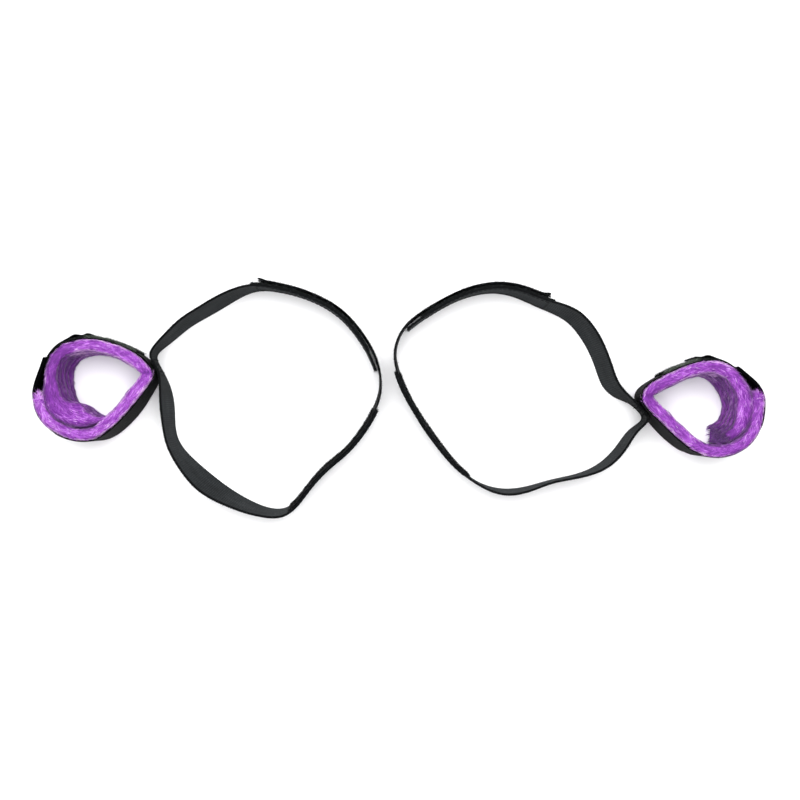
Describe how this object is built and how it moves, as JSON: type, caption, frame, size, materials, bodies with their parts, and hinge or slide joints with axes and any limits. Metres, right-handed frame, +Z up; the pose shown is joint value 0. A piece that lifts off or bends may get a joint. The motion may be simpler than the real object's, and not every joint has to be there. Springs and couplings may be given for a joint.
{
  "type": "plush-lined limb cuff pair",
  "caption": "Plush-lined wrap cuffs with hook-and-loop tabs, each sewn to a large adjustable hook-and-loop webbing loop.",
  "frame": {"origin": "centre of the pair's bounding box, on the floor the straps stand on", "axes": "+X from the left cuff to the right cuff, +Y to the far side as pictured from overhead, +Z up; straps stand on edge"},
  "size_m": [0.5042, 0.1632, 0.05],
  "materials": {
    "purple_plush": "short-pile faux fur",
    "grey_foam": "soft open-cell foam",
    "black_backing": "woven nylon webbing",
    "black_webbing": "ribbed woven webbing",
    "pile_tape": "napped loop pile",
    "hook_tape": "moulded nylon hooks",
    "black_thread": "twisted sewing thread"
  },
  "bodies": {
    "left_unit": {"left_loop_webbing": "black_webbing", "left_loop_pile_tape": "pile_tape", "left_loop_hook_tape": "hook_tape", "left_loop_hook_stitching": "black_thread", "left_loop_pile_stitching": "black_thread", "left_junction_stitching": "black_thread", "left_cuff_webbing": "black_backing", "left_cuff_pile_tape": "pile_tape", "left_cuff_lining": "purple_plush", "left_cuff_foam": "grey_foam"},
    "left_cuff_flap": {"left_cuff_lining_flap": "purple_plush", "left_cuff_foam_flap": "grey_foam", "left_cuff_webbing_flap": "black_backing", "left_cuff_hook_root": "hook_tape", "left_cuff_tab_stitching": "black_thread"},
    "left_cuff_tab": {"left_cuff_tab": "hook_tape"},
    "left_loop_tail": {"left_loop_hook_tail": "hook_tape"},
    "right_unit": {"right_loop_webbing": "black_webbing", "right_loop_pile_tape": "pile_tape", "right_loop_hook_tape": "hook_tape", "right_loop_hook_stitching": "black_thread", "right_loop_pile_stitching": "black_thread", "right_junction_stitching": "black_thread", "right_cuff_webbing": "black_backing", "right_cuff_pile_tape": "pile_tape", "right_cuff_lining": "purple_plush", "right_cuff_foam": "grey_foam"},
    "right_cuff_flap": {"right_cuff_lining_flap": "purple_plush", "right_cuff_foam_flap": "grey_foam", "right_cuff_webbing_flap": "black_backing", "right_cuff_hook_root": "hook_tape", "right_cuff_tab_stitching": "black_thread"},
    "right_cuff_tab": {"right_cuff_tab": "hook_tape"},
    "right_loop_tail": {"right_loop_hook_tail": "hook_tape"}
  },
  "joints": [
    {"name": "left_cuff_wrap_open", "type": "hinge", "parent": "left_unit", "child": "left_cuff_flap", "pos_m": [-0.22813, -0.02733, 0], "axis": [0, 0, 1], "range_deg": [0, 60]},
    {"name": "left_cuff_tab_peel", "type": "hinge", "parent": "left_cuff_flap", "child": "left_cuff_tab", "pos_m": [-0.24305, 0.03006, 0], "axis": [0, 0, 1], "range_deg": [0, 75]},
    {"name": "left_loop_tail_peel", "type": "hinge", "parent": "left_unit", "child": "left_loop_tail", "pos_m": [-0.04138, 0.06074, 0], "axis": [0, 0, -1], "range_deg": [0, 60]},
    {"name": "pair_spacing", "type": "slide", "parent": "left_unit", "child": "right_unit", "axis": [1, 0, 0], "range_m": [0, 0.1]},
    {"name": "right_cuff_wrap_open", "type": "hinge", "parent": "right_unit", "child": "right_cuff_flap", "pos_m": [0.23609, -0.03602, 0], "axis": [0, 0, -1], "range_deg": [0, 60]},
    {"name": "right_cuff_tab_peel", "type": "hinge", "parent": "right_cuff_flap", "child": "right_cuff_tab", "pos_m": [0.23238, 0.0228, 0], "axis": [0, 0, -1], "range_deg": [0, 75]},
    {"name": "right_loop_tail_peel", "type": "hinge", "parent": "right_unit", "child": "right_loop_tail", "pos_m": [0.03375, 0.07131, 0], "axis": [0, 0, 1], "range_deg": [0, 60]}
  ]
}
